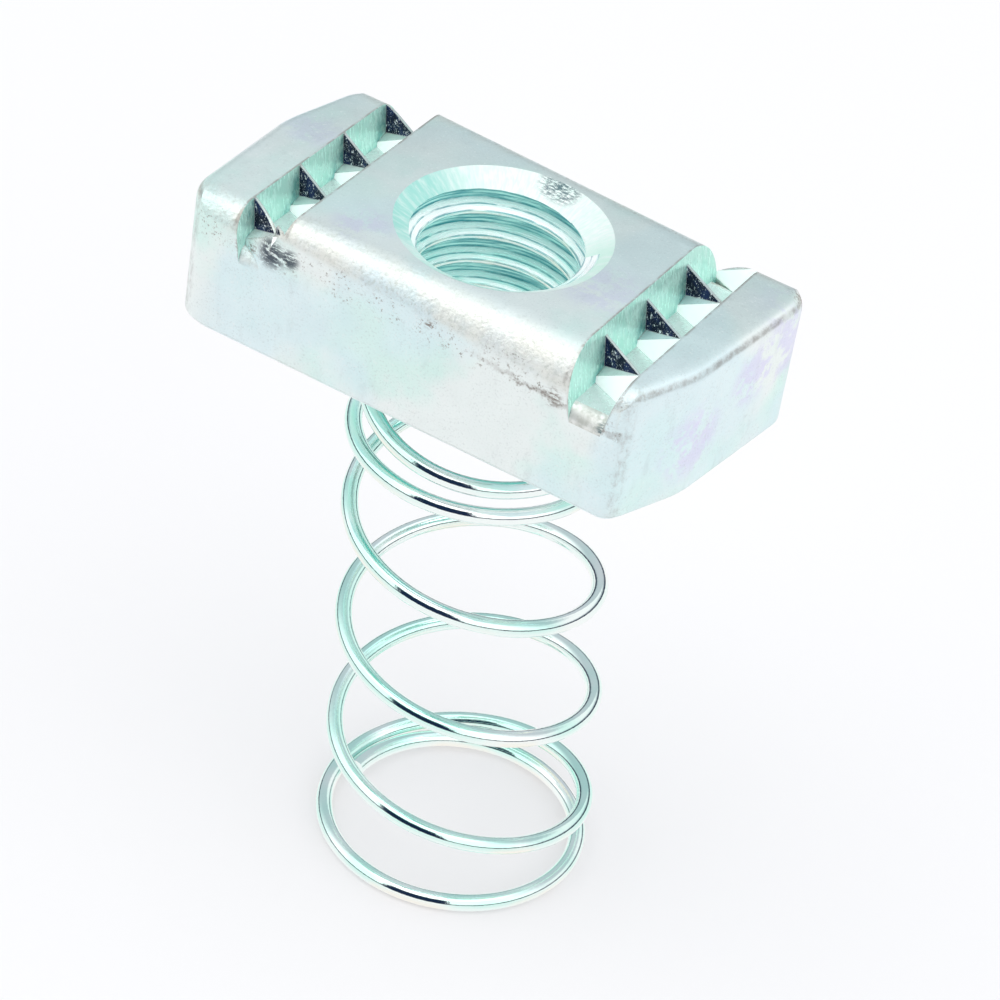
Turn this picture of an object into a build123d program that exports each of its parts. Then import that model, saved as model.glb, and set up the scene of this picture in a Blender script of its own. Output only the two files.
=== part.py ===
from build123d import *
from math import ceil, cos, pi, radians, sin, sqrt, tan
import os

# Strut spring nut: a forged, toothed channel nut standing on its coil spring.
# Millimetres, +Z up.  The origin is the middle of the threaded hole on the nut's clamping
# face, X runs along the nut, Y along its grooves, and the spring hangs below.

os.makedirs("parts", exist_ok=True)

# ---- nut body: block -------------------------------------------------------------------
nut_width = 19.05            # across the long sides
nut_thickness = 10.8         # clamping face to underside
right_reach = 17.65          # from the hole's axis to the right end, on the centre line
right_slant = 5.6            # degrees, the end's lean against the groove direction
right_relief_start = 4.0     # from the centre line to where the end falls away
right_relief_angle = 20.5    # degrees, lean of the part that falls away
right_stop_corner = 1.6      # the corner that comes to rest against the channel's wall
left_reach = 18.6            # the same for the left end, a little longer as forged
left_slant = -0.6
left_relief_start = 2.2
left_relief_angle = 14.0
left_stop_corner = 2.8
relief_bend = 9.0            # radius where an end turns into its relief
leading_corner = 2.7         # the two corners that lead as the nut is twisted into a channel
end_roll = 2.0               # rolled upper edge along both long sides of the end lands
land_roll_left = 1.6         # the same at the central land's left end, growing evenly
land_roll_right = 3.2        # to this at its right end
end_edge = 1.1               # small round on the upper edge of the ends
lower_edge = 0.5             # chamfer round the underside

# ---- nut body: clamping face, lip grooves and teeth ------------------------------------
land_length = 20.9           # central land, between the two grooves
land_step = 0.75             # end lands and tooth crests lie this far below the central land
groove_width = 3.9           # across a groove's mouth
groove_depth = 3.4           # central land to groove floor
groove_draft = 11.3          # degrees, lean of both groove walls
groove_lip = 1.1             # round where a groove's floor breaks out of a long side
tooth_count = 4
tooth_pitch = 5.2            # along the groove
tooth_angle = 31.0           # degrees, crests against the nut's long axis
tooth_crest = 0.18           # width of the flat on a crest
tooth_drop = 2.35            # upright part of a flank, at the wall where it is tallest
tooth_toe = 1.25             # a flank's foot ahead of its crest, at the same wall
tooth_heel = 0.65            # the same at the other wall
first_tooth_right = 3.725    # from the near long side to the right groove's first tooth
first_tooth_left = 2.325     # from the far long side to the left groove's first tooth

# ---- nut body: hole and spring seat ----------------------------------------------------
thread_major = 12.7          # half-inch coarse thread, modelled at its major diameter
countersink_diameter = 14.4
countersink_angle = 120.0    # degrees, included
seat_depth = 1.9             # counterbore in the underside that holds the end turn
seat_clearance = 0.05        # all round the end turn
stake_count = 3              # dents in the seat's rim that hold the end turn up
stake_width = 2.4            # along the rim
stake_reach = 0.9            # inwards from the rim, under the wire
stake_first = 50.0           # degrees, direction of the first stake
stake_spacing = 85.0         # degrees

# ---- spring, wound upwards from the ground ---------------------------------------------
wire = 1.2
free_height = 40.6           # underside of the nut to the surface that the spring stands on
foot_radius = 9.25           # to the wire's centre, foot turn
neck_radius = 8.2            # the same for the last free turn, below the nut
seat_turn_radius = 7.5       # the same for the end turn in the seat
foot_shift_x = 2.5           # the unground spring leans: its foot stands off the hole's axis
foot_shift_y = 2.0
lean_curve = 1.5             # power of the height by which the lean is made up; 1 is straight
foot_start = 165.0           # degrees, direction in which the wire begins
tip_radius = 8.0             # the wire's first end is tucked inside the turn that rises past it
tip_turns = 0.5              # from the tip until the foot radius is reached
foot_turns = 0.885           # flat on the ground, with the tip
ease_turns = 0.3             # from flat to the first pitch
first_pitch = 9.8
active_turns = 2.45          # from the first pitch to the last
last_pitch = 9.5
spread_turns = 0.4           # from the last active pitch to the widest
spread_pitch = 13.2
gather_turns = 0.55          # from the widest pitch to the pair's
pair_pitch = 2.0             # the two turns below the nut lie almost together
pair_turns = 1.0
rise_turns = 0.6             # from the pair up into the seat
seat_turns = 0.72            # flat under the seat's roof
spans_per_turn = 4           # each span of the wire is a pair of tangent arcs

# ---- sizes that follow -----------------------------------------------------------------
half_width = nut_width / 2
half_land = land_length / 2
under = -nut_thickness
end_land = -land_step
floor = -groove_depth
seat_radius = seat_turn_radius + wire / 2 + seat_clearance
seat_roof = under + seat_depth
ground = under - free_height
foot_level = ground + wire / 2
seat_level = seat_roof - seat_clearance - wire / 2
RISING = (Align.CENTER, Align.CENTER, Align.MIN)


def end_corners(reach, slant_angle, relief_start, relief_angle):
    """Corners of one end seen from above, for the end towards positive X."""
    slant = tan(radians(slant_angle))
    bend_x = reach - relief_start * slant
    stop_x = bend_x - (half_width - relief_start) * tan(radians(relief_angle))
    lead_x = reach + half_width * slant
    return Vector(stop_x, -half_width), Vector(bend_x, -relief_start), Vector(lead_x, half_width)


def plan_outline():
    """Block seen from above: slanted ends, each falling away towards its stop corner."""
    stop, bend, lead = end_corners(
        right_reach, right_slant, right_relief_start, right_relief_angle
    )
    far_stop, far_bend, far_lead = (
        -corner
        for corner in end_corners(left_reach, left_slant, left_relief_start, left_relief_angle)
    )
    face = Polygon(stop, bend, lead, far_stop, far_bend, far_lead, align=None)
    rounds = (
        (stop, right_stop_corner),
        (far_stop, left_stop_corner),
        (bend, relief_bend),
        (far_bend, relief_bend),
        (lead, leading_corner),
        (far_lead, leading_corner),
    )
    for corner, radius in rounds:
        face = fillet(face.vertices().sort_by_distance(corner)[0], radius)
    return face


def rolled_bar(length, top, roll):
    """Bar along X, as wide as the nut, with both upper edges rounded."""
    section = Plane.YZ * Pos(0, (top + under) / 2) * Rectangle(nut_width, top - under)
    section = fillet(section.vertices().group_by(Axis.Z)[-1], roll)
    return extrude(section, amount=length / 2, both=True)


def land_edge(x, roll):
    """Section across X of what is missing outside the far rolled edge of the land."""
    square = Rectangle(2 * roll, 2 * roll, align=Align.MIN)
    return Plane.YZ.offset(x) * Pos(half_width - roll, -roll) * (square - Circle(roll))


def land_bar(length):
    """Bar under the central land, its two rolled edges growing from left to right."""
    bar = Pos(0, 0, under) * Box(length, nut_width, nut_thickness, align=RISING)
    middle = (land_roll_left + land_roll_right) / 2
    change = (land_roll_right - land_roll_left) / land_length * length
    missing = loft([land_edge(-length, middle - change), land_edge(length, middle + change)])
    return bar - missing - mirror(missing, about=Plane.XZ)


def blank():
    """Forged blank before its grooves: end lands a step below the central land."""
    prism = extrude(Pos(0, 0, under) * plan_outline(), amount=end_land - under)
    prism = fillet(prism.edges().group_by(Axis.Z)[-1], end_edge)
    ends = prism & rolled_bar(2 * nut_width + land_length, end_land, end_roll)
    reach = half_land + groove_width / 4
    ends -= Pos(0, 0, under) * Box(2 * reach, 2 * nut_width, 2 * nut_thickness, align=RISING)
    return chamfer((ends + land_bar(2 * reach)).edges().group_by(Axis.Z)[0], lower_edge)


def half_tooth():
    """Near half of a tooth whose crest passes over the origin, level with the end lands.

    Its flank is three facets that meet at the crest's far end: an upright one that is
    tallest at the wall towards negative X, a narrow ledge under that, and a ramp.
    """
    side = groove_width / 2
    run = side * tan(radians(tooth_angle))
    edge = tooth_crest / 2 / cos(radians(tooth_angle))
    bottom = floor - groove_lip
    tall = [
        (-side, run, end_land),
        (-side, run - edge, end_land),
        (-side, run - edge, end_land - tooth_drop),
        (-side, run - tooth_toe, floor),
        (-side, run - tooth_toe, bottom),
        (-side, run, bottom),
    ]
    low = [
        (side, -run, end_land),
        (side, -run - edge, end_land),
        (side, -run - tooth_heel, floor),
        (side, -run - tooth_heel, bottom),
        (side, -run, bottom),
    ]
    facets = [
        tall,
        low,
        [tall[0], tall[1], low[1], low[0]],
        [tall[1], tall[2], low[1]],
        [tall[2], tall[3], low[1]],
        [tall[3], low[2], low[1]],
        [tall[3], tall[4], low[3], low[2]],
        [tall[4], tall[5], low[4], low[3]],
        [tall[5], tall[0], low[0], low[4]],
    ]
    faces = [Face(Wire.make_polygon(corners, close=True)) for corners in facets]
    return Solid(Shell(faces))


def tooth(y):
    """One tooth, the same seen from either side; y is taken in the groove's middle."""
    half = half_tooth()
    return Pos(0, y, 0) * (half + Rot(0, 0, 180) * half)


def groove(first_tooth):
    """Space of one lip groove, centred on X = 0 and with its teeth left standing.

    The wall nearer the central land is the one towards negative X.
    """
    lean = tan(radians(groove_draft))
    above = land_step
    below = groove_depth + groove_lip
    inner = -groove_width / 2
    outer = groove_width / 2
    section = Polygon(
        (inner - above * lean, above),
        (outer + (above + land_step) * lean, above),
        (outer - (below - land_step) * lean, -below),
        (inner + below * lean, -below),
        align=None,
    )
    space = extrude(Plane.XZ * section, amount=nut_width, both=True)
    space -= rolled_bar(2 * groove_width, floor, groove_lip)
    for index in range(tooth_count):
        space -= tooth(first_tooth - half_width + index * tooth_pitch)
    return space


def nut_body():
    """Nut: grooved and toothed blank with its hole, countersink and spring seat."""
    offset = half_land + groove_width / 2
    body = blank()
    body -= Pos(offset, 0, 0) * groove(first_tooth_right)
    body -= Rot(0, 0, 180) * Pos(offset, 0, 0) * groove(first_tooth_left)
    body -= Pos(0, 0, under / 2) * Cylinder(thread_major / 2, 2 * nut_thickness)
    spread = tan(radians(countersink_angle / 2))
    sink_radius = countersink_diameter / 2 + land_step * spread
    body -= Pos(0, 0, land_step) * Cone(
        0, sink_radius, sink_radius / spread, align=(Align.CENTER, Align.CENTER, Align.MAX)
    )
    body -= Pos(0, 0, under) * Cylinder(seat_radius, seat_depth, align=RISING)
    return body + stakes()


def stakes():
    """Dents in the seat's rim, pushed in under the end turn."""
    height = seat_depth - wire - 2 * seat_clearance
    ring = Cylinder(seat_radius + 0.5, height, align=RISING)
    ring -= Cylinder(seat_radius - stake_reach, height, align=RISING)
    bars = [
        Rot(0, 0, stake_first - index * stake_spacing)
        * Pos(seat_radius, 0, 0)
        * Box(4 * stake_reach, stake_width, height, align=RISING)
        for index in range(stake_count)
    ]
    return Pos(0, 0, under) * (ring & (bars[0] + bars[1:]))


def coil_segments():
    """(turns, pitch at the segment's end) from the ground up; pitch varies evenly between."""
    free = [
        (foot_turns, 0.0),
        (ease_turns, first_pitch),
        (active_turns, last_pitch),
        (spread_turns, spread_pitch),
        (gather_turns, pair_pitch),
        (pair_turns, pair_pitch),
    ]
    reached = foot_level + climb(free, coil_turns(free))
    steepest = (4 * (seat_level - reached) / rise_turns - pair_pitch) / 2
    return free + [(rise_turns / 2, steepest), (rise_turns / 2, 0.0), (seat_turns, 0.0)]


def coil_turns(segments):
    """Turns in a list of segments."""
    return sum(turns for turns, _ in segments)


def climb(segments, turn):
    """Height gained since the start of the wire, after a number of turns."""
    height = 0.0
    pitch = 0.0
    for turns, end_pitch in segments:
        part = min(max(turn, 0.0), turns)
        height += part * pitch + part**2 * (end_pitch - pitch) / turns / 2
        turn -= turns
        pitch = end_pitch
    return height


def coil_point(segments, turn):
    """Middle of the wire after a number of turns."""
    seat_from = coil_turns(segments) - seat_turns
    tucked_at = seat_from - rise_turns / 2
    tapered_from = foot_turns + ease_turns
    tapered_to = seat_from - rise_turns
    level = foot_level + climb(segments, turn)
    tip = min(turn / tip_turns, 1.0)
    taper = min(max((turn - tapered_from) / (tapered_to - tapered_from), 0.0), 1.0)
    tuck = min(max((turn - tapered_to) / (tucked_at - tapered_to), 0.0), 1.0)
    radius = foot_radius + (neck_radius - foot_radius) * taper
    radius += (tip_radius - foot_radius) * (1 + cos(pi * tip)) / 2
    radius += (seat_turn_radius - neck_radius) * (1 - cos(pi * tuck)) / 2
    full_rise = climb(segments, tucked_at)
    lean = 1 - min(climb(segments, turn) / full_rise, 1.0) ** lean_curve
    angle = radians(foot_start) - 2 * pi * turn
    return Vector(
        foot_shift_x * lean + radius * cos(angle),
        foot_shift_y * lean + radius * sin(angle),
        level,
    )


def coil_direction(segments, turn):
    """Direction of the wire after a number of turns."""
    step = 0.001
    last = coil_turns(segments)
    after = coil_point(segments, min(turn + step, last))
    before = coil_point(segments, max(turn - step, 0.0))
    return (after - before).normalized()


def arc_pair(start, start_way, end, end_way):
    """Two arcs that leave start and reach end in the given directions, tangent to each other."""
    chord = end - start
    ways = start_way + end_way
    bend = 2 * (1 - start_way.dot(end_way))
    along = chord.dot(ways)
    reach = (sqrt(along**2 + bend * chord.dot(chord)) - along) / bend
    middle = (start + end + (start_way - end_way) * reach) / 2
    return [
        Edge.make_tangent_arc(start, start_way, middle),
        Edge.make_tangent_arc(end, -end_way, middle),
    ]


def spring():
    """Spring: foot turn on the ground, active turns, and a smaller end turn in the seat."""
    segments = coil_segments()
    stations = [0.0]
    for turns, _ in segments:
        count = ceil(turns * spans_per_turn)
        stations += [stations[-1] + turns * (step + 1) / count for step in range(count)]
    points = [coil_point(segments, turn) for turn in stations]
    ways = [coil_direction(segments, turn) for turn in stations]
    arcs = []
    for step in range(len(stations) - 1):
        arcs += arc_pair(points[step], ways[step], points[step + 1], ways[step + 1])
    path = Wire(arcs)
    section = Plane(origin=points[0], z_dir=ways[0]) * Circle(wire / 2)
    return sweep(section, path=path)


export_step(nut_body(), "parts/nut_body.step")
export_step(spring(), "parts/spring.step")
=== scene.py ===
"""Looks of a zinc-plated strut spring nut: forged toothed nut, cut thread and coil spring.

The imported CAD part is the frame.  Every piece is in metres, in the CAD part's own axes: the
origin is the middle of the threaded hole on the clamping face, X runs along the nut, Y along
its grooves, and Z points up.  Sizes in this script are in millimetres unless it says otherwise.
"""

import logging
import math
from contextlib import contextmanager
from dataclasses import dataclass
from enum import Enum
from typing import Any, Iterator, Optional, Sequence

import bpy
from mathutils import Euler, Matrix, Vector

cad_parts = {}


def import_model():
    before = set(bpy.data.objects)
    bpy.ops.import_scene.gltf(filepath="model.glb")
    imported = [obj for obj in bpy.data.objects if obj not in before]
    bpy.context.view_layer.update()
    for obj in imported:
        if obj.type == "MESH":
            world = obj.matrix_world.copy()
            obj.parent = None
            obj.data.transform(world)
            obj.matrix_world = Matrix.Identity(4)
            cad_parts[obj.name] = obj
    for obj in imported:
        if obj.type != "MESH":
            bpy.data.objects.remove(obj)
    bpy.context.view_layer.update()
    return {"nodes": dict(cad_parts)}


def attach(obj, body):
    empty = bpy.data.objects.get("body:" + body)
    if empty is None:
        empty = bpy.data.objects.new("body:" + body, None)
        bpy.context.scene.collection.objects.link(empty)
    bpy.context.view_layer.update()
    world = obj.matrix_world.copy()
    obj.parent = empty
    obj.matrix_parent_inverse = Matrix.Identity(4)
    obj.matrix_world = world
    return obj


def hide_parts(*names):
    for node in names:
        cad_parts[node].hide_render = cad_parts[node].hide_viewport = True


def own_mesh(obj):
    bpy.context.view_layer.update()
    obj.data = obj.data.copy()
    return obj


LOG = logging.getLogger("strut_spring_nut")
MM = 0.001

Triple = tuple[float, float, float]
Colour = Triple
Spot = tuple[Triple, float]
Span = tuple[float, float]
Socket = bpy.types.NodeSocket
Axes = dict[str, Socket]

WHITE: Colour = (1.0, 1.0, 1.0)


class Region(Enum):
    """Parts of the nut's surface that carry their own finish."""

    SKIN = 0
    WALL = 1
    FLOOR = 2
    UPRIGHT = 3
    LEDGE = 4
    RAMP = 5
    LIP = 6
    SINK = 7


# ---------------------------------------------------------------------------------------
# Node trees


@dataclass(frozen=True)
class Mottle:
    """Patches cut out of noise.

    Attributes:
        scale: Waves per millimetre.
        low: Noise value at which a patch fades in.
        high: Noise value at which it is full.
        seed: Offset that makes one pattern differ from another.
        detail: Octaves of the noise.
        rough: Strength of the finer octaves.
        stretch: Stretch along X, Y and Z, or of radius, turn and height where it is wrapped.
        wrapped: Whether the pattern runs round the hole.
        least: Value away from the patches.
        most: Value inside them.
    """

    scale: float
    low: float
    high: float
    seed: float
    detail: float = 3.0
    rough: float = 0.6
    stretch: Triple = (1.0, 1.0, 1.0)
    wrapped: bool = False
    least: float = 0.0
    most: float = 1.0


class NodeBench:
    """A node tree with short calls for the nodes that the finishes share.

    Attributes:
        bevel_samples: Rays by which a sharp edge is found.
        edge_turn: Cosines of the normal's turn between which the edge mask fades in, for wear and for
            painted highlights.
        crease_samples: Rays by which a corner is found.
        crease_light: Openness between which the painted corner shade fades in.
        spot_core: Share of a spot's reach inside which it is full.
    """

    bevel_samples: int = 6
    edge_turn: Span = (0.99, 0.86)
    crease_samples: int = 8
    crease_light: Span = (0.80, 0.35)
    spot_core: float = 0.35

    def __init__(self, tree: bpy.types.NodeTree) -> None:
        """Empty the tree.

        Args:
            tree: Node tree of a material or of the world.
        """
        self.tree = tree
        tree.nodes.clear()

    def node(self, kind: str, **settings: Any) -> bpy.types.Node:
        """Add a node.

        Args:
            kind: Blender's identifier of the node.
            settings: Properties to set on it.

        Returns:
            The new node.
        """
        node = self.tree.nodes.new(kind)
        for name, value in settings.items():
            setattr(node, name, value)
        return node

    def feed(self, socket: Socket, value: Any) -> None:
        """Link a socket into an input, or write a plain value on it.

        Args:
            socket: Input to feed.
            value: Socket, number or colour.
        """
        if isinstance(value, bpy.types.NodeSocket):
            self.tree.links.new(value, socket)
        elif isinstance(value, tuple) and len(value) == 3 and socket.type == "RGBA":
            socket.default_value = (*value, 1.0)
        else:
            socket.default_value = value

    def math(self, operation: str, *values: Any, clamp: bool = False) -> Socket:
        """Add a Math node.

        Args:
            operation: Name of the operation.
            values: Its inputs, sockets or numbers.
            clamp: Whether the result is held between 0 and 1.

        Returns:
            The result's socket.
        """
        node = self.node("ShaderNodeMath", operation=operation, use_clamp=clamp)
        for socket, value in zip(node.inputs, values):
            self.feed(socket, value)
        return node.outputs[0]

    def chain(self, operation: str, *values: Any) -> Socket:
        """Join several values by one operation.

        Args:
            operation: Name of the operation, such as MULTIPLY or MAXIMUM.
            values: Sockets or numbers, joined from the first to the last.

        Returns:
            The result's socket.
        """
        joined = values[0]
        for value in values[1:]:
            joined = self.math(operation, joined, value)
        return joined

    def times(self, *values: Any) -> Socket:
        """Multiply several values.

        Args:
            values: Sockets or numbers.

        Returns:
            The product's socket.
        """
        return self.chain("MULTIPLY", *values)

    def distance(self, value: Any, middle: Any) -> Socket:
        """Measure how far a value is from another.

        Args:
            value: Socket or number.
            middle: Socket or number that it is compared with.

        Returns:
            The socket of the difference, without its sign.
        """
        return self.math("ABSOLUTE", self.math("SUBTRACT", value, middle))

    def band(self, value: Any, low: float, high: float, start: Any = 0.0, end: Any = 1.0) -> Socket:
        """Ease a value from start to end while it runs from low to high.

        Args:
            value: Value to map.
            low: Value at which the result is start.
            high: Value at which the result is end; it may lie below low.
            start: First result.
            end: Last result.

        Returns:
            The result's socket.
        """
        node = self.node("ShaderNodeMapRange", interpolation_type="SMOOTHSTEP")
        names = ("Value", "From Min", "From Max", "To Min", "To Max")
        for name, number in zip(names, (value, low, high, start, end)):
            self.feed(node.inputs[name], number)
        return node.outputs[0]

    def mix(self, share: Any, first: Any, second: Any) -> Socket:
        """Mix two colours.

        Args:
            share: How much of the second colour is taken.
            first: First colour.
            second: Second colour.

        Returns:
            The mixed colour's socket.
        """
        node = self.node("ShaderNodeMix", data_type="RGBA", blend_type="MIX")
        self.feed(node.inputs[0], share)
        self.feed(node.inputs[6], first)
        self.feed(node.inputs[7], second)
        return node.outputs[2]

    def place(self, stretch: Triple = (1.0, 1.0, 1.0)) -> Socket:
        """Take the Object coordinates in millimetres.

        Args:
            stretch: Factors along X, Y and Z.

        Returns:
            The coordinates' socket.
        """
        source = self.node("ShaderNodeTexCoord").outputs["Object"]
        node = self.node("ShaderNodeMapping")
        self.feed(node.inputs["Vector"], source)
        node.inputs["Scale"].default_value = tuple(s / MM for s in stretch)
        return node.outputs[0]

    def axes(self) -> Axes:
        """Split the Object coordinates.

        Returns:
            Sockets of X, Y and Z in millimetres.
        """
        node = self.node("ShaderNodeSeparateXYZ")
        self.feed(node.inputs[0], self.place())
        return {axis: node.outputs[axis] for axis in "XYZ"}

    def facing(self) -> Axes:
        """Split the surface's normal.

        Returns:
            Sockets of X, Y and Z.
        """
        node = self.node("ShaderNodeSeparateXYZ")
        self.feed(node.inputs[0], self.node("ShaderNodeNewGeometry").outputs["Normal"])
        return {axis: node.outputs[axis] for axis in "XYZ"}

    def radius(self, at: Axes) -> Socket:
        """Measure the distance from the hole's axis.

        Args:
            at: Object coordinates in millimetres.

        Returns:
            The distance's socket.
        """
        square = self.math("ADD", self.math("POWER", at["X"], 2.0), self.math("POWER", at["Y"], 2.0))
        return self.math("POWER", square, 0.5)

    def polar(self, radial: float, around: float, along: float) -> Socket:
        """Wrap the coordinates round the hole.

        Args:
            radial: Factor on the radius.
            around: Factor on the turn, in radians.
            along: Factor on the height.

        Returns:
            The socket of radius, turn and height.
        """
        at = self.axes()
        where = self.node("ShaderNodeCombineXYZ")
        values = (
            self.times(self.radius(at), radial),
            self.times(self.math("ARCTAN2", at["Y"], at["X"]), around),
            self.times(at["Z"], along),
        )
        for socket, value in zip(where.inputs, values):
            self.feed(socket, value)
        return where.outputs[0]

    def where(self, pattern: Mottle) -> Socket:
        """Take the coordinates that a pattern runs in.

        Args:
            pattern: The pattern.

        Returns:
            The coordinates' socket.
        """
        if pattern.wrapped:
            return self.polar(*pattern.stretch)
        return self.place(pattern.stretch)

    def noise(self, pattern: Mottle, where: Optional[Socket] = None) -> Socket:
        """Take a pattern's noise before it is cut to patches.

        Args:
            pattern: The pattern.
            where: Coordinates, or None for the pattern's own.

        Returns:
            The noise's socket, between 0 and 1.
        """
        node = self.node("ShaderNodeTexNoise", noise_dimensions="4D")
        self.feed(node.inputs["Vector"], where if where is not None else self.where(pattern))
        node.inputs["W"].default_value = pattern.seed
        node.inputs["Scale"].default_value = pattern.scale
        node.inputs["Detail"].default_value = pattern.detail
        node.inputs["Roughness"].default_value = pattern.rough
        return node.outputs[0]

    def fade(self, value: Socket, pattern: Mottle) -> Socket:
        """Cut a value to patches as a pattern says.

        Args:
            value: Noise or another value.
            pattern: Pattern whose limits are used.

        Returns:
            The patches' socket.
        """
        return self.band(value, pattern.low, pattern.high, pattern.least, pattern.most)

    def mottle(self, pattern: Mottle, where: Optional[Socket] = None) -> Socket:
        """Take a pattern's patches.

        Args:
            pattern: The pattern.
            where: Coordinates, or None for the pattern's own.

        Returns:
            The patches' socket.
        """
        return self.fade(self.noise(pattern, where), pattern)

    def spot(self, centre: Triple, reach: float) -> Socket:
        """Mark the surroundings of a place.

        Args:
            centre: The place.
            reach: Distance at which the mark ends.

        Returns:
            The socket of a share that falls from 1 to 0 away from the place.
        """
        node = self.node("ShaderNodeVectorMath", operation="DISTANCE")
        self.feed(node.inputs[0], self.place())
        node.inputs[1].default_value = centre
        return self.band(node.outputs["Value"], reach, reach * self.spot_core)

    def bump(self, height: Socket, depth: float, below: Optional[Socket] = None) -> Socket:
        """Tilt the normal as a raised pattern would.

        Args:
            height: Pattern between 0 and 1.
            depth: Height of the pattern in millimetres.
            below: Normal of the pattern underneath.

        Returns:
            The normal's socket.
        """
        node = self.node("ShaderNodeBump")
        node.inputs["Strength"].default_value = 1.0
        node.inputs["Distance"].default_value = depth * MM
        self.feed(node.inputs["Height"], height)
        if below is not None:
            self.feed(node.inputs["Normal"], below)
        return node.outputs[0]

    def sharp_edges(self, reach: float) -> Socket:
        """Find the sharp edges.

        Args:
            reach: How far from an edge it still counts.

        Returns:
            The socket of a share that rises close to an edge.
        """
        node = self.node("ShaderNodeBevel", samples=self.bevel_samples)
        node.inputs["Radius"].default_value = reach * MM
        dot = self.node("ShaderNodeVectorMath", operation="DOT_PRODUCT")
        self.feed(dot.inputs[0], node.outputs[0])
        self.feed(dot.inputs[1], self.node("ShaderNodeNewGeometry").outputs["Normal"])
        return self.band(dot.outputs["Value"], *self.edge_turn)

    def crease(self, reach: float) -> Socket:
        """Find the corners where two faces meet inwards.

        Args:
            reach: How far from a corner it still counts.

        Returns:
            The socket of a share that rises in the corners.
        """
        node = self.node("ShaderNodeAmbientOcclusion", samples=self.crease_samples, only_local=True)
        node.inputs["Distance"].default_value = reach * MM
        return self.band(node.outputs["AO"], *self.crease_light)

    def metal(
        self,
        colour: Any,
        roughness: Any,
        normal: Optional[Socket] = None,
        metallic: float = 1.0,
        painted_glow: float = 0.0,
        gloss: float = 0.5,
    ) -> None:
        """Finish the tree with a metal surface.

        Args:
            colour: Base colour.
            roughness: Roughness.
            normal: Normal, or None for the plain one.
            metallic: How much of the surface is bare metal.
            painted_glow: Painted light: brightness that the surface gives off of itself, standing in
                for small facets that catch the light.
            gloss: Strength of the clear reflection on what is not bare metal.
        """
        shader = self.node("ShaderNodeBsdfPrincipled")
        shader.inputs["Metallic"].default_value = metallic
        shader.inputs["Specular IOR Level"].default_value = gloss
        # painted glow: emission in the base colour stands in for light that the surface catches
        if painted_glow:
            self.feed(shader.inputs["Emission Color"], colour)
            shader.inputs["Emission Strength"].default_value = painted_glow
        self.feed(shader.inputs["Base Color"], colour)
        self.feed(shader.inputs["Roughness"], roughness)
        if normal is not None:
            self.feed(shader.inputs["Normal"], normal)
        self.feed(self.node("ShaderNodeOutputMaterial").inputs["Surface"], shader.outputs[0])


def new_material(name: str) -> tuple[bpy.types.Material, NodeBench]:
    """Start a material.

    Args:
        name: Name of the material.

    Returns:
        The material and the bench of its empty node tree.
    """
    material = bpy.data.materials.new(name)
    material.use_nodes = True
    return material, NodeBench(material.node_tree)


# ---------------------------------------------------------------------------------------
# Finishes


@dataclass(frozen=True)
class ZincTint:
    """Colours that a bright zinc plate takes on, with a painted shade for the faces that lie level."""

    plain: Colour = (0.935, 0.996, 0.98)
    mint: Colour = (0.78, 0.99, 0.935)
    blue: Colour = (0.78, 0.95, 0.995)
    lilac: Colour = (0.80, 0.79, 0.985)
    cream: Colour = (0.96, 0.96, 0.88)
    # painted shade laid on the faces that lie level
    painted_level_shade: Colour = (0.46, 0.57, 0.56)
    pale: Colour = (0.98, 1.0, 0.99)
    sand: Colour = (0.50, 0.56, 0.48)
    grey: Colour = (0.36, 0.41, 0.41)
    brown: Colour = (0.24, 0.20, 0.17)
    ink: Colour = (0.03, 0.05, 0.08)


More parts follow.
